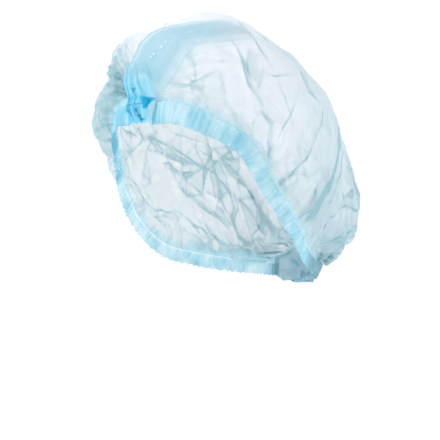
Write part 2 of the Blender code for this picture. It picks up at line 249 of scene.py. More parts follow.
# The middle and side lines of each knot from its foot to its head, as places along Y and Z, its half widths,
# how deep its folds are, and the direction in which they stand out. The fade is the share of its height over
# which it runs out into the crown.
BUNCH_FOLDS = 7
FRONT_BUNCH_OUT = (0.0, -1.0, 0.0)
NAPE_BUNCH_OUT = (0.0, 0.64, -0.77)
FRONT_BUNCH_FADE = 0.42
NAPE_BUNCH_FADE = 0.08
FRONT_BUNCH_MIDDLE = ((-0.0955, 0.0546), (-0.0960, 0.0650), (-0.0964, 0.0760), (-0.1004, 0.0990))
FRONT_BUNCH_SIDES = ((-0.0950, 0.0552), (-0.0935, 0.0640), (-0.0924, 0.0750), (-0.0986, 0.0985))
FRONT_BUNCH_HALF_WIDTHS = (0.0105, 0.0120, 0.0130, 0.0132, 0.0128, 0.0110)
FRONT_BUNCH_DEPTHS = (0.0045, 0.0070, 0.0078, 0.0052, 0.0060, 0.0030)
NAPE_BUNCH_MIDDLE = ((0.0795, -0.0605), (0.1010, -0.0600), (0.1100, -0.0490), (0.1040, -0.0310))
NAPE_BUNCH_SIDES = ((0.0780, -0.0592), (0.0785, -0.0570), (0.0790, -0.0520), (0.0795, -0.0440))
NAPE_BUNCH_HALF_WIDTHS = (0.0155, 0.0170, 0.0175, 0.0175)
NAPE_BUNCH_DEPTHS = (0.0040, 0.0050, 0.0040, 0.0020)

# How fine the clouds, fibres and bond points of the non-woven are, per metre of flat cloth
CLOUD_SCALE = 260.0
FIBRE_SCALE = 2200.0
BOND_SCALE = 700.0
BOND_RADIUS = 0.26


def lerp(start, end, share):
    return start + (end - start) * share


def unit(vector):
    return vector / np.linalg.norm(vector)


def wave(count, at):
    return np.cos(2 * math.pi * count * at)


def section_value(name, station):
    """The value at a station of a smooth curve through one column of SECTIONS."""
    stations = [row[0] for row in SECTIONS]
    values = [row[SECTION_COLUMNS.index(name)] for row in SECTIONS]
    slopes = np.gradient(values, stations)
    place = int(np.clip(np.searchsorted(stations, station, side="right") - 1, 0, len(stations) - 2))
    length = stations[place + 1] - stations[place]
    t = (station - stations[place]) / length
    start = (2 * t**3 - 3 * t**2 + 1) * values[place] + (t**3 - 2 * t**2 + t) * length * slopes[place]
    end = (3 * t**2 - 2 * t**3) * values[place + 1] + (t**3 - t**2) * length * slopes[place + 1]
    return start + end


def rim_point(station):
    along = section_value("rim_along", station)
    level = section_value("rim_level", station)
    start = lerp(FRONT_EDGE_HALF_WIDTH, NAPE_EDGE_HALF_WIDTH, station)
    x = lerp(start, RIM_HALF_WIDTH, section_value("rim_side", station))
    y = along * (RIM_REAR if along > 0 else RIM_FRONT)
    return np.array((x, y, level * (RIM_RISE if level > 0 else RIM_DROP)))


def hem_width(station):
    return lerp(HEM_FRONT_WIDTH, HEM_NAPE_WIDTH, min(1.0, station / 0.5))


def rim_frame(station):
    """The directions out of the cap and up the hem."""
    step = 0.004
    along = unit(rim_point(min(1.0, station + step)) - rim_point(max(0.0, station - step)))
    x, y, _ = rim_point(station)
    length = RIM_REAR if y > 0 else RIM_FRONT
    out = unit(np.array((x / RIM_HALF_WIDTH**2, y / length**2, 0.0)))
    out = unit(out + np.array((0.0, 0.0, lerp(FOREHEAD_LEAN, NAPE_LEAN, station))))
    up = unit(np.cross(out, along))
    up *= math.copysign(1.0, up[2])
    return unit(out - along * out.dot(along)), up


def crest_point(station):
    knot_tops = lerp(RIM_RISE + FRONT_KNOT_HEIGHT, NAPE_KNOT_HEIGHT - RIM_DROP, station)
    y = lerp(-RIM_FRONT, RIM_REAR, station) + section_value("crest_back", station) * CROWN_OVERHANG
    return np.array((0.0, y, lerp(knot_tops, CROWN_TOP, section_value("crest_level", station))))


def half_section(station, columns):
    """Evenly spaced points of the left half of a section, from the crest down to the hem, and its length."""
    _, up = rim_frame(station)
    seam = rim_point(station) + up * hem_width(station)
    foot = np.array((0.0, seam[1], seam[2]))
    rise = crest_point(station) - foot
    belly_level = section_value("belly_level", station)
    start = lerp(FRONT_EDGE_HALF_WIDTH, NAPE_EDGE_HALF_WIDTH, station)
    belly_side = lerp(start, CROWN_HALF_WIDTH, section_value("belly_side", station))
    belly = foot + rise * belly_level + np.array((belly_side, 0.0, 0.0))
    power = 2 / section_value("squareness", station)
    turn = np.linspace(math.pi / 2, 0.0, 40)
    side = belly_side * np.cos(turn).clip(0) ** power
    height = (1 - belly_level) * np.sin(turn) ** power
    upper = belly + np.outer(side - belly_side, (1.0, 0.0, 0.0)) + np.outer(height, rise)
    reach = 0.45 * np.linalg.norm(belly - seam)
    t = np.linspace(0.0, 1.0, 30)[1:, None]
    lower = (1 - t) ** 3 * belly + 3 * t * (1 - t) ** 2 * (belly - unit(rise) * reach)
    lower = lower + 3 * t**2 * (1 - t) * (seam + up * reach) + t**3 * seam
    line = np.vstack((upper, lower))
    lengths = np.concatenate(([0.0], np.cumsum(np.linalg.norm(np.diff(line, axis=0), axis=1))))
    wanted = np.linspace(0.0, lengths[-1], columns + 1)
    return np.column_stack([np.interp(wanted, lengths, line[:, axis]) for axis in range(3)]), lengths[-1]


class Crown:
    """The smooth middle surface of the crown, as a grid whose rows run across the cap."""

    def __init__(self, rows, half_columns):
        self.stations = np.linspace(0.0, 1.0, rows)
        self.across = np.linspace(-1.0, 1.0, 2 * half_columns + 1)
        made = [half_section(station, half_columns) for station in self.stations]
        self.points = np.array([np.vstack((half[:0:-1] * (-1, 1, 1), half)) for half, _ in made])
        self.half_lengths = np.array([length for _, length in made])
        self.normals = grid_normals(self.points)

    def sample(self, grid, station, across):
        """Values of a grid at any stations and places across."""
        row = np.clip(station, 0, 1) * (len(self.stations) - 1)
        column = (np.clip(across, -1, 1) + 1) / 2 * (len(self.across) - 1)
        r = np.minimum(row.astype(int), len(self.stations) - 2)
        c = np.minimum(column.astype(int), len(self.across) - 2)
        dr = (row - r)[..., None]
        dc = (column - c)[..., None]
        return (
            grid[r, c] * (1 - dr) * (1 - dc) + grid[r, c + 1] * (1 - dr) * dc
            + grid[r + 1, c] * dr * (1 - dc) + grid[r + 1, c + 1] * dr * dc
        )


def grid_normals(points):
    normals = np.cross(np.gradient(points, axis=1), np.gradient(points, axis=0))
    return normals / np.maximum(np.linalg.norm(normals, axis=2, keepdims=True), 1e-12)


def grid_faces(rows, columns):
    index = np.arange(rows * columns).reshape(rows, columns)
    corners = (index[:-1, :-1], index[1:, :-1], index[1:, 1:], index[:-1, 1:])
    return np.stack(corners, axis=-1).reshape(-1, 4)


def finer(grid):
    """The grid with one more point between each two, on a smooth curve."""
    for axis in (0, 1):
        grid = np.moveaxis(grid, axis, 0)
        middle = (grid[:-1] + grid[1:]) / 2
        middle[1:-1] = (9 * (grid[1:-2] + grid[2:-1]) - grid[:-3] - grid[3:]) / 16
        made = np.empty((2 * len(grid) - 1,) + grid.shape[1:])
        made[0::2] = grid
        made[1::2] = middle
        grid = np.moveaxis(made, 0, axis)
    return grid


def add_sheet(name, points, uv, layers_and_shade, material, cover=None, **others):
    """A mesh through a grid of points, with the flat cloth's own coordinates and its number of layers, a value
    that in places also darkens the cloth as painted shade.

    Cover, from 0 to 1, thins the cloth out where it runs into the sheet below it. The others are more values
    for the material.
    """
    values_at = {"layers_and_shade": layers_and_shade, "cover": np.ones(layers_and_shade.shape) if cover is None else cover, **others}
    faces = grid_faces(*points.shape[:2])
    if ((points - CAP_MIDDLE) * grid_normals(points)).sum() > 0:
        faces = faces[:, ::-1]
    mesh = bpy.data.meshes.new(name)
    mesh.from_pydata(points.reshape(-1, 3).tolist(), [], faces.tolist())
    corners = np.empty(len(mesh.loops), dtype=np.int32)
    mesh.loops.foreach_get("vertex_index", corners)
    coordinates = mesh.uv_layers.new(name="flat_cloth")
    coordinates.data.foreach_set("uv", uv.reshape(-1, 2)[corners].ravel().astype(np.float32))
    for label, values in values_at.items():
        attribute = mesh.attributes.new(label, "FLOAT", "POINT")
        attribute.data.foreach_set("value", values.ravel().astype(np.float32))
    mesh.materials.append(material)
    mesh.shade_smooth()
    piece = bpy.data.objects.new(name, mesh)
    bpy.context.scene.collection.objects.link(piece)
    return piece


def only(piece):
    """Selects one object and makes it the active one."""
    bpy.ops.object.select_all(action="DESELECT")
    piece.select_set(True)
    bpy.context.view_layer.objects.active = piece


def finish_modifier(piece, modifier):
    only(piece)
    bpy.ops.object.modifier_apply(modifier=modifier.name)


def camera_place():
    """The camera's place and its directions to the right and into the picture."""
    right = np.array((math.cos(VIEW_AZIMUTH), math.sin(VIEW_AZIMUTH), 0.0))
    into = np.array((-math.sin(VIEW_AZIMUTH), math.cos(VIEW_AZIMUTH), 0.0))
    aside = (FRAME_PIXELS / 2 - ORIGIN_PIXEL[0]) * METRES_PER_PIXEL
    below = (HORIZON_PIXEL - ORIGIN_PIXEL[1]) * METRES_PER_PIXEL
    return right * aside - into * VIEW_DISTANCE - np.array((0.0, 0.0, below)), right, into


def make_camera():
    place, _, _ = camera_place()
    data = bpy.data.cameras.new("camera")
    data.sensor_width = SENSOR_WIDTH
    data.lens = SENSOR_WIDTH * VIEW_DISTANCE / (METRES_PER_PIXEL * FRAME_PIXELS)
    data.clip_end = 20.0
    camera = bpy.data.objects.new("camera", data)
    camera.location = place
    camera.rotation_euler = (math.pi / 2, 0.0, VIEW_AZIMUTH)
    bpy.context.scene.collection.objects.link(camera)
    bpy.context.scene.camera = camera


def pixel_ray(pixel):
    place, right, into = camera_place()
    x = (pixel[0] - FRAME_PIXELS / 2) * METRES_PER_PIXEL
    z = (FRAME_PIXELS / 2 - pixel[1]) * METRES_PER_PIXEL
    return Vector(place), Vector(into * VIEW_DISTANCE + right * x + np.array((0.0, 0.0, z))).normalized()


def grid_tree(points):
    rows, columns = points.shape[:2]
    return BVHTree.FromPolygons(points.reshape(-1, 3).tolist(), grid_faces(rows, columns).tolist())


def facets(u, v, spacing, seed):
    """Crumpled facets of the flat cloth: heights from -1 to 1, a share for each, and the way to its edge."""
    draw = np.random.default_rng(seed)
    low = (u.min() - spacing, v.min() - spacing)
    high = (u.max() + spacing, v.max() + spacing)
    counts = [int((high[k] - low[k]) / spacing) + 2 for k in (0, 1)]
    corners = []
    for i in range(counts[0]):
        for j in range(counts[1]):
            jitter = draw.uniform(-0.48, 0.48, 2)
            corners.append((low[0] + (i + jitter[0]) * spacing, low[1] + (j + jitter[1]) * spacing))
    flat, _, faces, *_ = geometry.delaunay_2d_cdt([Vector(c) for c in corners], [], [], 0, 1e-7)
    heights = draw.uniform(-1, 1, len(flat))
    shares = draw.uniform(0, 1, len(faces))
    tree = BVHTree.FromPolygons([(p[0], p[1], h * spacing) for p, h in zip(flat, heights)], faces)
    down = Vector((0.0, 0.0, -1.0))
    height = np.zeros(u.size)
    facet = np.zeros(u.size, dtype=int)
    for k, (a, b) in enumerate(zip(u.ravel(), v.ravel())):
        place, _, face, _ = tree.ray_cast(Vector((a, b, 1.0)), down)
        if place is not None:
            height[k] = place[2] / spacing
            facet[k] = face
    here = np.column_stack((u.ravel(), v.ravel()))
    around = np.array([tuple(p) for p in flat])[np.array(faces)[facet]]
    nearest = np.full(u.size, 1.0)
    for k in range(3):
        side = around[:, (k + 1) % 3] - around[:, k]
        apart = here - around[:, k]
        away = np.abs(side[:, 0] * apart[:, 1] - side[:, 1] * apart[:, 0]) / np.linalg.norm(side, axis=1)
        nearest = np.minimum(nearest, away)
    return height.reshape(u.shape), shares[facet].reshape(u.shape), nearest.reshape(u.shape)


def crease_lines(crown):
    """The creases as lines on the crown: those of the picture, and others spread over the rest."""
    tree = grid_tree(crown.points)
    lines = []
    for row in CREASES:
        crease = dict(zip(CREASE_COLUMNS, row))
        line = []
        for pixel in crease["line"]:
            start, along = pixel_ray(pixel)
            if crease["side"] == "far":
                start, along = start + along * 2 * VIEW_DISTANCE, -along
            hit = tree.ray_cast(start, along)[0]
            if hit is not None:
                line.append(np.array(hit))
        if len(line) > 1:
            lines.append(dict(crease, line=line))
    draw = np.random.default_rng(11)
    for _ in range(SPREAD_CREASES):
        station = draw.uniform(0.30, 0.92)
        across = draw.uniform(-0.92, -0.05)
        run = draw.uniform(0.08, 0.22) * draw.choice((-1, 1))
        drift = draw.normal(0, 0.10)
        steps = np.linspace(0, 1, 5)
        bend = draw.normal(0, 0.008, 5)
        places = crown.sample(crown.points, station + run * steps, across + drift * steps + bend)
        size = draw.uniform(0.0012, 0.0030)
        lines.append({
            "height": size * 0.9, "width": size, "layers_and_shade": draw.uniform(0.15, 0.45),
            "band": draw.uniform(-0.006, 0.006), "line": list(places),
        })
    return lines


def line_place(points, normals, line):
    """Distance of each point from a line, below zero on its right, and how far along it lies, from 0 to 1."""
    best = np.full(points.shape[:-1], 1e9)
    signed = np.zeros(points.shape[:-1])
    at = np.zeros(points.shape[:-1])
    count = len(line) - 1
    for number, (start, end) in enumerate(zip(line[:-1], line[1:])):
        stretch = end - start
        share = ((points - start) @ stretch / max(stretch @ stretch, 1e-12)).clip(0, 1)
        apart = points - start - share[..., None] * stretch
        distance = np.linalg.norm(apart, axis=-1)
        left = (np.cross(stretch, apart) * normals).sum(axis=-1) > 0
        nearer = distance < best
        best = np.where(nearer, distance, best)
        signed = np.where(nearer, np.where(left, distance, -distance), signed)
        at = np.where(nearer, (number + share) / count, at)
    return signed, at


def smooth_noise(points, scale, seed):
    offset = Vector((seed * 7.3, seed * 3.1, seed * 5.7))
    flat = points.reshape(-1, 3)
    return np.array([noise.noise(Vector(p) * scale + offset) for p in flat]).reshape(points.shape[:-1])


def settle(piece, held, slack):
    """Lets a sheet that is larger than its place settle into folds, and applies the result."""
    pins = piece.vertex_groups.new(name="held")
    loose = piece.vertex_groups.new(name="slack")
    for number in range(len(piece.data.vertices)):
        pins.add([number], float(held[number]), "REPLACE")
        loose.add([number], float(slack[number]), "REPLACE")
    cloth = piece.modifiers.new("cloth", "CLOTH")
    settings = cloth.settings
    settings.quality = 5
    settings.mass = 0.05
    settings.air_damping = 2.0
    settings.tension_stiffness = 12.0
    settings.compression_stiffness = 12.0
    settings.shear_stiffness = 4.0
    settings.bending_stiffness = 0.02
    settings.tension_damping = 5.0
    settings.compression_damping = 5.0
    settings.vertex_group_mass = "held"
    settings.pin_stiffness = 1.0
    settings.vertex_group_shrink = "slack"
    settings.shrink_min = 0.0
    settings.shrink_max = -SLACK
    settings.effector_weights.gravity = 0.0
    cloth.collision_settings.use_collision = False
    cloth.collision_settings.use_self_collision = False
    cloth.point_cache.frame_start = 1
    cloth.point_cache.frame_end = SETTLE_FRAMES
    for number in range(1, SETTLE_FRAMES + 1):
        bpy.context.scene.frame_set(number)
    finish_modifier(piece, cloth)


class Puckers:
    """Gathers of uneven width along one hem, which run on into the crown."""

    def __init__(self, seed):
        draw = np.random.default_rng(seed)
        pitch = draw.uniform(0.55, 1.45, PUCKERS)
        self.turns = np.arange(PUCKERS + 1)
        self.edges = np.concatenate(([0.0], np.cumsum(pitch))) / pitch.sum()
        self.sizes = draw.uniform(0.45, 1.15, PUCKERS + 1)
        self.slants = np.convolve(draw.uniform(-1.6, 1.6, PUCKERS + 1), np.ones(5) / 5, "same")

    def phase(self, station):
        return np.interp(station, self.edges, self.turns)

    def size(self, station):
        return np.interp(self.phase(station), self.turns, self.sizes)

    def swing(self, station, share):
        """From -1 to 1 at a place along the hem and a share of its width, which is 1 at the seam."""
        lean = np.interp(self.phase(station), self.turns, self.slants)
        turn = 2 * math.pi * (self.phase(station) + lean * (share - 1))
        return np.cos(turn) + 0.22 * np.cos(2.3 * turn + 1.0)


def pleated_share(stations, offset):
    """How much each place lies under the front pleats, which keep the crown smooth."""
    table = [[row[k] for row in FRONT_PLEAT_EDGES] for k in range(len(PLEAT_COLUMNS))]
    low = np.interp(stations, table[0], table[1])
    high = np.interp(stations, table[0], table[2])
    inside = np.clip(np.minimum(offset - low, high - offset) / 0.006 + 0.5, 0, 1)
    return inside * np.clip((table[0][-1] - stations) / 0.08, 0, 1)


def make_crown(puckers, material):
    """The single layer of the crown, settled, creased and gathered towards its hems and knots."""
    crown = Crown(CROWN_ROWS, CROWN_HALF_COLUMNS)
    base = crown.points
    stations = np.broadcast_to(crown.stations[:, None], base.shape[:2])
    across = np.broadcast_to(crown.across[None, :], base.shape[:2])
    from_knot = np.minimum(stations, 1 - stations) * 0.33
    from_hem = (1 - np.abs(across)) * crown.half_lengths[:, None]
    lines = crease_lines(crown)
    heights = np.zeros(base.shape[:2])
    for crease in lines:
        distance, at = line_place(base, crown.normals, crease["line"])
        taper = np.sin(math.pi * (0.1 + 0.8 * at))
        heights += crease["height"] * taper * np.exp(-((distance / crease["width"]) ** 2))
    behind = np.clip((stations - 0.45) / 0.3, 0, 1) + np.clip((-across - 0.1) / 0.5, 0, 1) * 0.8
    behind = np.clip(behind, 0, 1)
    wander = smooth_noise(base, 14.0, 1)
    pleats = wave(11, across + 0.05 * wander) * np.exp(-from_knot / 0.045) * 0.0024
    swell = smooth_noise(base, 22.0, 2) * 0.0024 + smooth_noise(base, 55.0, 3) * 0.0010
    swell = swell * (0.35 + 0.65 * behind)
    for row in BULGES:
        bulge = dict(zip(BULGE_COLUMNS, row))
        apart = ((stations - bulge["station"]) / bulge["length"]) ** 2
        apart = apart + ((across - bulge["across"]) / bulge["width"]) ** 2
        swell = swell + bulge["height"] * np.exp(-apart)
    borders = np.minimum(1, from_hem / 0.012) * np.minimum(1, from_knot / 0.012)
    pleated = pleated_share(stations, across * crown.half_lengths[:, None])
    heights = ((heights + pleats) * (1 - 0.8 * pleated) + swell) * borders
    points = base + crown.normals * heights[..., None]
    slack = (0.30 + 0.70 * behind) * borders
    held = np.where(borders <= 0, 1.0, 0.42 - 0.12 * behind)
    uv = np.stack((stations * CROWN_FLAT[0], across * CROWN_FLAT[1] / 2), axis=-1)
    trial = add_sheet("crown_trial", points, uv, heights, material)
    settle(trial, held.ravel(), slack.ravel())
    moved = np.empty(base.size)
    trial.data.vertices.foreach_get("co", moved)
    bpy.data.objects.remove(trial)
    shift = moved.reshape(base.shape) - base
    length = np.linalg.norm(shift, axis=2, keepdims=True)
    points = base + shift * np.minimum(1, SETTLE_LIMIT / np.maximum(length, 1e-9))
    return detail_crown(lines, puckers, material, *(
        finer(grid if grid.ndim == 3 else grid[..., None])
        for grid in (points, base, crown.normals, uv, stations, across, from_hem, from_knot, behind, pleated)
    ))


def crown_gathers(puckers, stations, across, from_hem):
    """Heights of the gathers along both hems, and how much their cloth lies folded further up the crown."""
    gathers = np.zeros(stations.shape)
    streaks = np.zeros(stations.shape)
    for side, pucker in puckers.items():
        edge = (across * side > 0) * 1.0
        swing = pucker.swing(stations, 1.0) * pucker.size(stations)
        slow = np.cos(2 * math.pi * pucker.phase(stations) / 2.7 + 1.3 * np.sin(pucker.phase(stations)))
        gathers += edge * (swing * np.exp(-from_hem / 0.007) * PUCKER_RELIEF * 0.8
                           + slow * np.exp(-from_hem / 0.030) * 0.0012 * np.minimum(1, from_hem / 0.01))
        streaks += edge * (0.5 - 0.5 * slow) * np.exp(-from_hem / 0.020)
    return gathers, streaks


def crease_folds(lines, smooth, outward):
    """How much cloth lies folded along the creases, the way to the nearest line and how dark that line is."""
    folded = np.zeros(smooth.shape[:2])
    line_distance = np.full(smooth.shape[:2], 1.0)
    line_strength = np.zeros(smooth.shape[:2])
    for crease in lines:
        distance, at = line_place(smooth, outward, crease["line"])
        ends = np.clip(np.minimum(at, 1 - at) / 0.10, 0, 1) ** 0.5
        band = abs(crease["band"])
        into = distance * math.copysign(1, crease["band"])
        fold = np.clip(into / 0.0012, 0, 1) * np.clip((band - into) / 0.0012, 0, 1) * (1 - 0.45 * into / band)
        folded = folded + crease["layers_and_shade"] * ends * fold
        uneven = 0.62 + 0.38 * np.sin(at * 9.0 + 40 * crease["width"] * 1000)
        near = np.clip((0.0034 - np.abs(distance)) / 0.0014, 0, 1)
        nearer = np.abs(distance) < np.abs(line_distance)
        strength = (0.30 + 1.2 * crease["layers_and_shade"]) * ends * uneven * near
        line_distance = np.where(nearer, distance, line_distance)
        line_strength = np.where(nearer, strength, line_strength)
    return folded, line_distance, line_strength


def detail_crown(lines, puckers, material, points, smooth, outward, uv, *fields):
    """Crumples the settled crown, gathers its edges and works out where its cloth lies folded."""
    stations, across, from_hem, from_knot, behind, pleated = (field[..., 0] for field in fields)
    normals = grid_normals(points)
    large, large_share, large_edge = facets(uv[..., 0], uv[..., 1], LARGE_FACET, 5)
    small, small_share, small_edge = facets(uv[..., 0], uv[..., 1], SMALL_FACET, 6)
    rear = np.clip((stations - 0.70) / 0.12, 0, 1) + np.clip((-across - 0.2) / 0.4, 0, 1) * 0.7
    rear = np.clip(rear, 0, 1)
    rough = (0.14 + 0.66 * behind + 0.70 * rear) * (1 - 0.8 * pleated)
    crumple = (large * 0.0026 + small * 0.0010) * rough
    gathers, streaks = crown_gathers(puckers, stations, across, from_hem)
    off_knot = np.minimum(1, from_knot / 0.006)
    inner = np.minimum(1, from_hem / 0.005) * off_knot
    points = points + normals * (crumple * inner + gathers * off_knot)[..., None]

    # Single cloth in front, and more of it lying over itself further back, where the cloth is also darkened and
    # greyed as painted shade
    layers_and_shade = 0.02 + 0.39 * np.maximum(behind, np.clip((stations - 0.30) / 0.26, 0, 1) * 0.9)
    layers_and_shade = layers_and_shade + 0.10 * np.exp(-(((stations - 0.55) / 0.14) ** 2)) * np.clip(across * 4, 0, 1)
    # Crumpled facets at the rear that lie double or single, and their folded edges
    double = np.where(large_share > 0.6, 0.16, 0.0) - np.where(small_share > 0.75, 0.22, 0.0)
    large_fold = np.clip(large_share - 0.25, 0, 1) * 0.85 * np.exp(-((large_edge / 0.0010) ** 2))
    small_fold = np.clip(small_share - 0.55, 0, 1) * 0.80 * np.exp(-((small_edge / 0.0009) ** 2))
    layers_and_shade = layers_and_shade + double * rear + large_fold * (0.1 + rear) + small_fold * rear
    # Gathers towards the hems and knots
    layers_and_shade = layers_and_shade + 0.30 * np.exp(-from_hem / 0.004) + 0.22 * streaks
    layers_and_shade = layers_and_shade + 0.35 * np.exp(-from_knot / 0.020)
    # The bag beyond the forehead
    _, right, _ = camera_place()
    far_front = np.clip(1 - stations / 0.45, 0, 1) * np.clip((-0.066 - smooth @ right) / 0.014, 0, 1)
    folded, line_distance, line_strength = crease_folds(lines, smooth, outward)
    layers_and_shade = layers_and_shade + 0.42 * far_front + folded

    blend = np.zeros(stations.shape)
    for side, pucker in puckers.items():
        reach = 0.0022 + 0.0042 * pucker.size(stations) * (0.5 - 0.5 * np.cos(2.1 * pucker.phase(stations)))
        blend += (across * side > 0) * np.exp(-((from_hem / reach) ** 1.5))
    return add_sheet("crown_cloth", points, uv, layers_and_shade.clip(0, 1), material,
                     line_distance=line_distance, line_strength=line_strength, blend=blend)


def make_hem(name, side, pucker, seed, material):
    """A gathered hem: cloth folded over its elastic, in puckers of uneven width."""
    columns = PUCKERS * STEPS_PER_PUCKER + 1
    rows = 13
    stations = np.linspace(0.0, 1.0, columns)
    rim = np.array([rim_point(station) for station in stations])
    out, up = np.array([rim_frame(station) for station in stations]).swapaxes(0, 1)
    width = np.array([hem_width(station) for station in stations])
    size = pucker.size(stations)
    ends = np.clip(np.minimum(stations, 1 - stations) / 0.02, 0.2, 1)
    points = np.zeros((rows, columns, 3))
    layers_and_shade = np.zeros((rows, columns))
    shares = np.linspace(0, HEM_REACH, rows)
    for row, share in enumerate(shares):
        swing = pucker.swing(stations, share)
        drawn = 1 - 0.40 * math.exp(-(((share - ELASTIC_LEVEL) / 0.12) ** 2))
        belly = 0.0006 + 0.0006 * math.sin(math.pi * share / HEM_REACH) ** 0.7
        relief = PUCKER_RELIEF * size * swing * drawn * lerp(1.1, 0.8, share) * ends
        ruffle = (1 - share) ** 2 * 0.0010 * (1 - swing) / 2 * size
        points[row] = rim + up * (share * width + ruffle)[:, None] + out * (relief + belly)[:, None]
        layers_and_shade[row] = 0.24 - 0.05 * swing * size + 0.05 * math.exp(-(share - ELASTIC_LEVEL) ** 2 / 0.004)
    points *= (side, 1, 1)
    uv = np.stack(np.meshgrid(stations * HEM_FLAT[0], np.linspace(0, HEM_FLAT[1], rows)), axis=-1)
    _, patch, _ = facets(uv[..., 0], uv[..., 1] * 0.6, HEM_FACET, seed)
    cloud = smooth_noise(np.concatenate((uv, uv[..., :1]), axis=-1), 70.0, seed)
    layers_and_shade = layers_and_shade + 0.16 * (patch - 0.5) + 0.55 * cloud + 0.50 * np.exp(-stations / 0.05)
    if side > 0:
        layers_and_shade = layers_and_shade + 0.40 * np.clip((stations - 0.56) / 0.14, 0, 1)
        blend = np.clip((stations - 0.64) / 0.12, 0, 1)
    else:
        # Painted shade: the far hem is darker towards the front
        layers_and_shade = layers_and_shade + 0.65 * np.exp(-(((stations - 0.2) / 0.12) ** 2))
        blend = np.clip((stations - 0.93) / 0.06, 0, 1)
    cover = np.clip((HEM_REACH - shares[:, None] + np.zeros_like(layers_and_shade)) / HEM_FADE, 0, 1)
    hem = add_sheet(name, points, uv, layers_and_shade.clip(0, 1), material, cover, blend=blend + np.zeros_like(layers_and_shade))
    wall = hem.modifiers.new("fold", "SOLIDIFY")
    wall.thickness = HEM_WALL
    wall.offset = 0.0
    finish_modifier(hem, wall)
    return hem


def along_line(places, up):
    steps = np.linspace(0, 1, len(places))
    return np.stack([np.interp(up, steps, [place[axis] for place in places]) for axis in (0, 1)], axis=-1)


def make_bunch(name, middle, sides, half_widths, depths, out, tucks, fade, seed, material):
    """Cloth bunched in upright folds, which stands out in its middle and lies on the hems at its sides.

    A knot with a long fade is seen from the front, so its left side takes on the colour of the crown.
    """
    draw = np.random.default_rng(seed)
    rows = 81
    columns = BUNCH_FOLDS * 18 + 1
    edges = np.arange(BUNCH_FOLDS + 1)
    up = np.linspace(0, 1, rows)[:, None]
    turn = np.linspace(0, BUNCH_FOLDS, columns)[None, :]
    share = turn / BUNCH_FOLDS + np.zeros_like(up)
    size = np.interp(turn, edges, draw.uniform(0.45, 1.0, len(edges)))
    lean = np.interp(turn, edges, draw.uniform(-0.35, 0.35, len(edges)))
    half_width = np.interp(up, np.linspace(0, 1, len(half_widths)), half_widths)
    depth = np.interp(up, np.linspace(0, 1, len(depths)), depths)
    swing = (1 - np.cos(2 * math.pi * (turn + lean * (up - 0.45)))) / 2
    inner = np.clip((1 - np.abs(2 * share - 1)) / 0.30, 0, 1) ** 0.6
    wander = 0.0012 * np.sin(2 * math.pi * (turn * 0.5 + up * 1.3)) + 0.0008 * np.sin(2 * math.pi * up * 2.1)
    aside = (2 * share - 1) * half_width + wander * inner
    forth = (swing * size * depth * 0.60 + depth * 0.70 * (1 - (2 * share - 1) ** 2)) * inner
    tucked_and_shaded = np.zeros_like(share)
    for row in tucks:
        tuck = dict(zip(TUCK_COLUMNS, row))
        aslant = np.abs(share - tuck["across"]) / tuck["half_width"]
        level = (up - tuck["up"]) / tuck["half_height"]
        apart = np.maximum(np.abs(level), aslant / np.clip(0.62 + 0.38 * level, 0.2, 1))
        forth = forth - tuck["depth"] * np.exp(-(apart ** 2))
        # Tucked cloth lies in more layers, and the deepest tuck's pocket is darkened further as painted shade
        tucked_and_shaded = tucked_and_shaded + tuck["layers_and_shade"] * np.exp(-(apart ** 8))
    toward = (np.abs(2 * share - 1) ** 2.4)[..., None]
    level = up + np.zeros_like(share)
    upright = lerp(along_line(middle, level), along_line(sides, level), toward)
    points = np.concatenate((aside[..., None], upright), axis=-1) + forth[..., None] * np.array(out)
    uv = np.stack(np.broadcast_arrays(share * KNOT_FLAT[0], up * KNOT_FLAT[1]), axis=-1)
    crumple, patch, _ = facets(uv[..., 0], uv[..., 1], KNOT_FACET, seed + 1)
    points = points + grid_normals(points) * (crumple * 0.0010 * np.sin(math.pi * share))[..., None]
    cover = np.clip((1 - up) / min(0.2, fade), 0, 1) * np.clip((1 - np.abs(2 * share - 1)) / 0.06, 0.8, 1)
    beside_crown = np.clip(1 - (1 - share) / 0.30, 0, 1) * (fade > 0.2)
    blend = np.maximum(np.clip((up - 1 + fade) / fade, 0, 1), beside_crown) * (1 - tucked_and_shaded).clip(0, 1)
    layers_and_shade = (0.34 - 0.26 * swing * size + 0.25 * (patch - 0.5)) * (1 - 0.7 * blend) + tucked_and_shaded
    return add_sheet(name, points, uv, layers_and_shade.clip(0, 1), material, cover, blend=blend)


def make_pleats(name, crown, edges, turns, material):
    """Pleats that lie folded over each other on the crown, back and forth between their two edges."""
    rows = 90
    table = {column: [row[k] for row in edges] for k, column in enumerate(PLEAT_COLUMNS)}
    share = np.linspace(0, 1, rows)
    station = lerp(table["station"][0], table["station"][-1], share)
    order = np.argsort(table["station"])
    stations = np.array(table["station"])[order]
    low, high = (np.interp(station, stations, np.array(table[edge])[order]) for edge in ("low", "high"))
    path = np.linspace(0, len(turns) - 1, (len(turns) - 1) * 14 + 1)
    across = np.interp(path, np.arange(len(turns)), turns)
    lift = np.floor(path).clip(0, len(turns) - 2) * PLEAT_STEP + PLEAT_STEP * (path % 1)
    offset = lerp(low[:, None], high[:, None], across[None, :])
    half = np.interp(station, crown.stations, crown.half_lengths)[:, None]
    row = station[:, None] + np.zeros_like(offset)
    base = crown.sample(crown.points, row, offset / half)
    normals = crown.sample(crown.normals, row, offset / half)
    ripple = 0.0005 * np.sin(across[None, :] * 21.0 + share[:, None] * 5.0) * np.sin(math.pi * share[:, None])
    points = base + normals * (0.0012 + lift[None, :] + ripple)[..., None]
    turned = np.abs((path + 0.5) % 1 - 0.5)[None, :]
    layers_and_shade = 0.30 + 0.16 * np.exp(-turned / 0.04) + 0.25 * np.clip(1 - share[:, None] / 0.35, 0, 1)
    cover = np.clip((1.02 - across[None, :]) / 0.48, 0, 1) * np.clip((1 - share[:, None]) / 0.50, 0, 1) ** 0.7
    uv = np.stack(np.broadcast_arrays(share[:, None] * PLEAT_LENGTH, path[None, :] * PLEAT_DEPTH), axis=-1)
    return add_sheet(name, points, uv, layers_and_shade.clip(0, 1), material, cover)


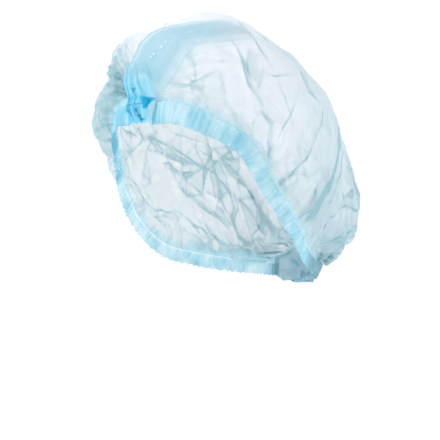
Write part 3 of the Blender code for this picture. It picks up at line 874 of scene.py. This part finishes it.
def make_weld_dots(pleats, material):
    """Small pressed weld dots, which shine a little whiter than the cloth."""
    graph = bpy.context.evaluated_depsgraph_get()
    tree = BVHTree.FromObject(pleats, graph)
    dots = []
    for pixel in WELD_PIXELS:
        start, along = pixel_ray(pixel)
        hit, normal, _, _ = tree.ray_cast(start, along)
        if hit is None:
            continue
        facing = normal if normal.dot(along) < 0 else -normal
        bpy.ops.object.select_all(action="DESELECT")
        place = hit + facing * 0.0003
        bpy.ops.mesh.primitive_uv_sphere_add(segments=14, ring_count=8, radius=WELD_RADIUS, location=place)
        dot = bpy.context.object
        dot.rotation_euler = facing.to_track_quat("Z", "Y").to_euler()
        dot.scale = (1.0, 0.8, 0.35)
        bpy.ops.object.transform_apply(location=True, rotation=True, scale=True)
        bpy.ops.object.shade_smooth()
        dots.append(dot)
    bpy.ops.object.select_all(action="DESELECT")
    for dot in dots:
        dot.select_set(True)
    bpy.context.view_layer.objects.active = dots[0]
    bpy.ops.object.join()
    made = bpy.context.object
    made.name = "weld_dots"
    made.data.materials.clear()
    made.data.materials.append(material)
    for label in ("layers_and_shade", "cover"):
        attribute = made.data.attributes.new(label, "FLOAT", "POINT")
        attribute.data.foreach_set("value", np.ones(len(made.data.vertices), dtype=np.float32))
    bpy.ops.object.transform_apply(location=True, rotation=True, scale=True)
    return made


def cloth_material(name, pale, deep, opacity, deep_opacity, beside=None):
    """Spunbond non-woven: a web of fibres with pressed bond points, denser and bluer where it is layered and
    where its layers value gives painted shade.

    Beside is the colour of the sheet that the cloth runs into where its blend value is 1.
    """
    material = bpy.data.materials.new(name)
    material.use_nodes = True
    tree = material.node_tree
    tree.nodes.clear()

    def node(kind, **values):
        made = tree.nodes.new(kind)
        for key, value in values.items():
            setattr(made, key, value)
        return made

    def link(source, output, target, field):
        tree.links.new(source.outputs[output], target.inputs[field])

    def math_node(operation, first, second, third=None):
        made = node("ShaderNodeMath", operation=operation)
        for number, value in enumerate((first, second, third)):
            if isinstance(value, tuple):
                link(value[0], value[1], made, number)
            elif value is not None:
                made.inputs[number].default_value = value
        return made

    flat = node("ShaderNodeUVMap", uv_map="flat_cloth")
    layers_and_shade = node("ShaderNodeAttribute", attribute_name="layers_and_shade")
    cloud = node("ShaderNodeTexNoise")
    cloud.inputs["Scale"].default_value = CLOUD_SCALE
    cloud.inputs["Detail"].default_value = 5.0
    link(flat, "UV", cloud, "Vector")
    stretch = node("ShaderNodeMapping")
    stretch.inputs["Scale"].default_value = (0.25, 1.0, 1.0)
    stretch.inputs["Rotation"].default_value = (0.0, 0.0, 0.4)
    link(flat, "UV", stretch, "Vector")
    fibres = node("ShaderNodeTexNoise")
    fibres.inputs["Scale"].default_value = FIBRE_SCALE
    fibres.inputs["Detail"].default_value = 3.0
    link(stretch, "Vector", fibres, "Vector")
    bonds = node("ShaderNodeTexVoronoi")
    bonds.inputs["Scale"].default_value = BOND_SCALE
    bonds.inputs["Randomness"].default_value = 0.15
    link(flat, "UV", bonds, "Vector")
    spots = math_node("LESS_THAN", (bonds, "Distance"), BOND_RADIUS)
    web = math_node("ADD", (cloud, "Fac"), (fibres, "Fac"))
    web = math_node("MULTIPLY_ADD", (web, "Value"), 0.22, -0.22)
    dense = math_node("MULTIPLY_ADD", (spots, "Value"), 0.10, (web, "Value"))
    depth = math_node("ADD", (layers_and_shade, "Fac"), (dense, "Value"))
    from_line = node("ShaderNodeAttribute", attribute_name="line_distance")
    strength = node("ShaderNodeAttribute", attribute_name="line_strength")
    widths = math_node("DIVIDE", (from_line, "Fac"), CREASE_LINE_WIDTH)
    squared = math_node("MULTIPLY", (widths, "Value"), (widths, "Value"))
    negative = math_node("MULTIPLY", (squared, "Value"), -1.0)
    line = math_node("EXPONENT", (negative, "Value"), None)
    depth = math_node("MULTIPLY_ADD", (line, "Value"), (strength, "Fac"), (depth, "Value"))
    depth.use_clamp = True
    solid = node("ShaderNodeMapRange")
    solid.inputs["From Min"].default_value = 0.0
    solid.inputs["From Max"].default_value = 1.0
    solid.inputs["To Min"].default_value = opacity
    solid.inputs["To Max"].default_value = deep_opacity
    link(depth, "Value", solid, "Value")
    blend = node("ShaderNodeAttribute", attribute_name="blend")
    thick = math_node("MULTIPLY_ADD", (blend, "Fac"), 0.30, (solid, "Result"))
    thick.use_clamp = True
    cover = node("ShaderNodeAttribute", attribute_name="cover")
    covered = math_node("MULTIPLY", (thick, "Value"), (cover, "Fac"))
    layered = node("ShaderNodeMix", data_type="RGBA")
    layered.inputs["A"].default_value = (*pale, 1.0)
    layered.inputs["B"].default_value = (*deep, 1.0)
    link(depth, "Value", layered, "Factor")
    tone = node("ShaderNodeMix", data_type="RGBA")
    tone.inputs["B"].default_value = (*(beside or pale), 1.0)
    link(blend, "Fac", tone, "Factor")
    link(layered, "Result", tone, "A")
    bump = node("ShaderNodeBump")
    bump.inputs["Strength"].default_value = 0.35
    bump.inputs["Distance"].default_value = 0.0006
    link(dense, "Value", bump, "Height")
    shine = node("ShaderNodeBsdfPrincipled")
    shine.inputs["Roughness"].default_value = 0.55
    shine.inputs["Specular IOR Level"].default_value = 0.35
    shine.inputs["Sheen Weight"].default_value = 0.15
    link(tone, "Result", shine, "Base Color")
    link(bump, "Normal", shine, "Normal")
    through = node("ShaderNodeBsdfTranslucent")
    link(tone, "Result", through, "Color")
    link(bump, "Normal", through, "Normal")
    cloth = node("ShaderNodeMixShader")
    cloth.inputs["Fac"].default_value = 0.45
    link(shine, "BSDF", cloth, 1)
    link(through, "BSDF", cloth, 2)
    clear = node("ShaderNodeBsdfTransparent")
    mixed = node("ShaderNodeMixShader")
    link(covered, "Value", mixed, "Fac")
    link(clear, "BSDF", mixed, 1)
    link(cloth, "Shader", mixed, 2)
    output = node("ShaderNodeOutputMaterial")
    link(mixed, "Shader", output, "Surface")
    return material


def make_floor():
    bpy.ops.object.select_all(action="DESELECT")
    bpy.ops.mesh.primitive_plane_add(size=14.0, location=(0.0, 0.0, -0.30))
    floor = bpy.context.object
    floor.name = "floor"
    material = bpy.data.materials.new("pale_floor")
    material.use_nodes = True
    shader = material.node_tree.nodes["Principled BSDF"]
    shader.inputs["Base Color"].default_value = (0.95, 0.95, 0.95, 1.0)
    shader.inputs["Emission Color"].default_value = (1.0, 1.0, 1.0, 1.0)
    shader.inputs["Emission Strength"].default_value = 0.35
    shader.inputs["Roughness"].default_value = 0.9
    shader.inputs["Specular IOR Level"].default_value = 0.1
    floor.data.materials.clear()
    floor.data.materials.append(material)


def make_light():
    """White surroundings that light the cap more softly than they show, a key light and a weaker fill."""
    world = bpy.data.worlds.new("studio")
    world.use_nodes = True
    tree = world.node_tree
    shown = tree.nodes["Background"]
    shown.inputs["Color"].default_value = (1.0, 1.0, 1.0, 1.0)
    shown.inputs["Strength"].default_value = 1.0
    lit = tree.nodes.new("ShaderNodeBackground")
    lit.inputs["Color"].default_value = (0.97, 0.98, 1.0, 1.0)
    lit.inputs["Strength"].default_value = 0.72
    seen = tree.nodes.new("ShaderNodeLightPath")
    mixed = tree.nodes.new("ShaderNodeMixShader")
    tree.links.new(seen.outputs["Is Camera Ray"], mixed.inputs["Fac"])
    tree.links.new(lit.outputs["Background"], mixed.inputs[1])
    tree.links.new(shown.outputs["Background"], mixed.inputs[2])
    tree.links.new(mixed.outputs["Shader"], tree.nodes["World Output"].inputs["Surface"])
    bpy.context.scene.world = world
    for name, place, size, power in (
        ("key", (-0.9, -1.6, 1.5), 0.9, 34.0),
        ("fill", (1.8, 0.4, 0.9), 1.2, 8.0),
    ):
        data = bpy.data.lights.new(name, "AREA")
        data.size = size
        data.energy = power
        light = bpy.data.objects.new(name, data)
        light.location = place
        light.rotation_euler = (Vector((0.0, 0.0, 0.04)) - Vector(place)).to_track_quat("-Z", "Y").to_euler()
        bpy.context.scene.collection.objects.link(light)
    bpy.context.scene.view_settings.view_transform = "Standard"


make_camera()
make_floor()
make_light()

# The crown's deep colour is greyed, as it also gives the painted shade over the rear of the crown
sheer = cloth_material("sheer_cloth", (0.91, 0.92, 0.95), (0.28, 0.50, 0.56), 0.46, 0.85, (0.52, 0.79, 0.87))
hem_cloth = cloth_material("hem_cloth", (0.60, 0.84, 0.90), (0.24, 0.62, 0.76), 0.48, 0.88, (0.33, 0.53, 0.61))
# The knot's deep colour is dense layered cyan, made darker still to give the pocket of its deepest tuck painted
# shade
knot_cloth = cloth_material("knot_cloth", (0.31, 0.77, 0.91), (0.0, 0.43, 0.70), 0.90, 1.0, (0.50, 0.77, 0.87))
pleat_cloth = cloth_material("pleat_cloth", (0.65, 0.80, 0.86), (0.47, 0.77, 0.87), 0.30, 0.60)
nape_cloth = cloth_material("nape_cloth", (0.33, 0.53, 0.61), (0.12, 0.37, 0.48), 0.85, 0.98)
nape_pleat_cloth = cloth_material("nape_pleat_cloth", (0.56, 0.74, 0.82), (0.30, 0.58, 0.68), 0.30, 0.60)
weld_cloth = cloth_material("weld_cloth", (0.90, 0.97, 1.0), (0.90, 0.97, 1.0), 0.95, 1.0)

hem_puckers = {1: Puckers(21), -1: Puckers(22)}
crown_surface = Crown(61, 40)
crown_cloth = make_crown(hem_puckers, sheer)
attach(crown_cloth, "root")
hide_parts("crown")

for hem_name, node_name, hem_side, hem_seed in (
    ("hem_band_left", "hem_left", 1, 31), ("hem_band_right", "hem_right", -1, 32),
):
    hem = make_hem(hem_name, hem_side, hem_puckers[hem_side], hem_seed, hem_cloth)
    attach(hem, "root")
    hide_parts(node_name)

front_bunch = make_bunch(
    "front_bunch", FRONT_BUNCH_MIDDLE, FRONT_BUNCH_SIDES, FRONT_BUNCH_HALF_WIDTHS, FRONT_BUNCH_DEPTHS,
    FRONT_BUNCH_OUT, FRONT_TUCKS, FRONT_BUNCH_FADE, 31, knot_cloth,
)
nape_bunch = make_bunch(
    "nape_bunch", NAPE_BUNCH_MIDDLE, NAPE_BUNCH_SIDES, NAPE_BUNCH_HALF_WIDTHS, NAPE_BUNCH_DEPTHS,
    NAPE_BUNCH_OUT, NAPE_TUCKS, NAPE_BUNCH_FADE, 41, nape_cloth,
)
for bunch, node_name, flat in (
    (front_bunch, "front_knot", KNOT_FLAT), (nape_bunch, "nape_knot", NAPE_KNOT_FLAT),
):
    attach(bunch, "root")
    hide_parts(node_name)

front_fold = make_pleats("front_fold", crown_surface, FRONT_PLEAT_EDGES, FRONT_PLEAT_TURNS, pleat_cloth)
nape_fold = make_pleats("nape_fold", crown_surface, NAPE_PLEAT_EDGES, NAPE_PLEAT_TURNS, nape_pleat_cloth)
for fold, node_name, flat in (
    (front_fold, "front_pleats", FRONT_PLEATS_FLAT), (nape_fold, "nape_pleats", NAPE_PLEATS_FLAT),
):
    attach(fold, "root")
    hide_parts(node_name)

weld_dots = make_weld_dots(front_fold, weld_cloth)
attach(weld_dots, "root")
